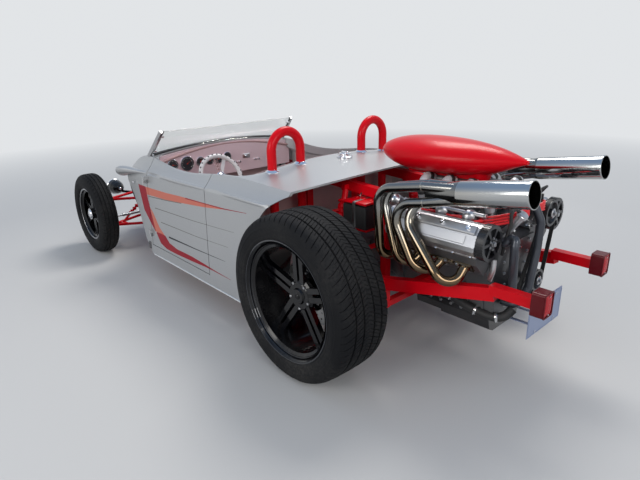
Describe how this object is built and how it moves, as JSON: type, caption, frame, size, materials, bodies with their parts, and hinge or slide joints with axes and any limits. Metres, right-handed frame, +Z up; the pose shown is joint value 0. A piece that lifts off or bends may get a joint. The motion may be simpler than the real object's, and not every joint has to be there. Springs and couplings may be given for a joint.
{
  "type": "street rod roadster",
  "caption": "Low open two-seat roadster with a rear-hung V8, front wheels out ahead of a narrow nose, twin roll hoops and high tail pipes.",
  "frame": {"origin": "on the ground under the middle of the car's length and width", "axes": "+X to the car's left, +Y to its rear, +Z up"},
  "size_m": [1.674, 3.805, 1.103],
  "materials": {
    "body_silver": "satin metallic",
    "cabin_grey": "satin",
    "dash_silver": "satin metallic",
    "upholstery": "soft",
    "glass": "clear",
    "black_trim": "gloss",
    "frame_red": "gloss",
    "steel": "satin",
    "cast_metal": "cast",
    "cover_metal": "satin",
    "engine_black": "gloss",
    "wheel_rim": "gloss",
    "tyre": "matt",
    "rim_black": "gloss",
    "plate_white": "satin",
    "chrome": "polished",
    "rubber": "matt",
    "hose_grey": "satin",
    "battery_black": "matt",
    "header_bronze": "heat tinted",
    "exhaust_steel": "polished"
  },
  "bodies": {
    "chassis": {"body_shell": "body_silver", "hood_panel": "body_silver", "nose_shell": "body_silver", "nose_grille": "chrome", "cabin_tub": "cabin_grey", "dashboard": "dash_silver", "seat_cushions": "upholstery", "seat_back": "upholstery", "windshield_glass": "glass", "windshield_posts": "black_trim", "roll_hoops": "frame_red", "main_frame": "frame_red", "engine_cradle": "frame_red", "wishbones": "frame_red", "rear_links": "frame_red", "scoop": "frame_red", "rear_uprights": "steel", "half_shafts": "steel", "steering_rack": "cast_metal", "steering_column": "steel", "headlamps": "rim_black", "tail_lamps": "frame_red", "number_plate": "plate_white", "transaxle": "cast_metal", "engine_block": "cast_metal", "cylinder_heads": "cast_metal", "cam_covers": "cover_metal", "oil_pan": "engine_black", "belt_pulleys": "engine_black", "intake_manifold": "cast_metal", "timing_cover": "engine_black", "drive_belt": "rubber", "generator": "cast_metal", "coolant_hoses": "hose_grey", "battery": "battery_black", "fuel_cap": "chrome", "spring_units": "frame_red", "rear_calipers": "frame_red", "side_liners": "black_trim", "headers": "header_bronze", "tail_pipes": "exhaust_steel"},
    "door_left": {"door_left": "body_silver"},
    "door_right": {"door_right": "body_silver"},
    "steer_left": {"knuckle_left": "steel"},
    "steer_right": {"knuckle_right": "steel"},
    "wheel_front_left": {"front_rim_left": "rim_black", "front_tyre_left": "tyre"},
    "wheel_front_right": {"front_rim_right": "rim_black", "front_tyre_right": "tyre"},
    "wheel_rear_left": {"rear_rim_left": "rim_black", "rear_tyre_left": "tyre"},
    "wheel_rear_right": {"rear_rim_right": "rim_black", "rear_tyre_right": "tyre"},
    "steering_wheel": {"steering_wheel": "wheel_rim"},
    "tie_rods": {"tie_rods": "steel"}
  },
  "joints": [
    {"name": "door_left_swing", "type": "hinge", "parent": "chassis", "child": "door_left", "pos_m": [0.692, -0.6925, 0.5125], "axis": [0, 0, -1], "range_deg": [0, 62]},
    {"name": "door_right_swing", "type": "hinge", "parent": "chassis", "child": "door_right", "pos_m": [-0.692, -0.6925, 0.5125], "axis": [0, 0, 1], "range_deg": [0, 62]},
    {"name": "steer_left_turn", "type": "hinge", "parent": "chassis", "child": "steer_left", "pos_m": [0.662, -1.5465, 0.319], "axis": [0, 0, 1], "range_deg": [-28, 28]},
    {"name": "steer_right_turn", "type": "hinge", "parent": "chassis", "child": "steer_right", "pos_m": [-0.662, -1.5465, 0.319], "axis": [0, 0, 1], "range_deg": [-28, 28]},
    {"name": "steering_wheel_turn", "type": "hinge", "parent": "chassis", "child": "steering_wheel", "pos_m": [0.32, -0.2925, 0.722], "axis": [0, 0.8829, 0.4695], "range_deg": [-337, 337]},
    {"name": "rack_slide", "type": "slide", "parent": "chassis", "child": "tie_rods", "axis": [1, 0, 0], "range_m": [-0.053, 0.053]},
    {"name": "front_left_spin", "type": "hinge", "parent": "steer_left", "child": "wheel_front_left", "pos_m": [0.764, -1.5465, 0.319], "axis": [1, 0, 0], "continuous": true},
    {"name": "front_right_spin", "type": "hinge", "parent": "steer_right", "child": "wheel_front_right", "pos_m": [-0.764, -1.5465, 0.319], "axis": [1, 0, 0], "continuous": true},
    {"name": "rear_left_spin", "type": "hinge", "parent": "chassis", "child": "wheel_rear_left", "pos_m": [0.671, 0.9575, 0.402], "axis": [1, 0, 0], "continuous": true},
    {"name": "rear_right_spin", "type": "hinge", "parent": "chassis", "child": "wheel_rear_right", "pos_m": [-0.671, 0.9575, 0.402], "axis": [1, 0, 0], "continuous": true}
  ],
  "couplings": [
    {"joint": "steer_right_turn", "follows": "steer_left_turn", "ratio": 1},
    {"joint": "steering_wheel_turn", "follows": "steer_left_turn", "ratio": 12},
    {"joint": "rack_slide", "follows": "steer_left_turn", "m_per_rad": -0.1076}
  ]
}
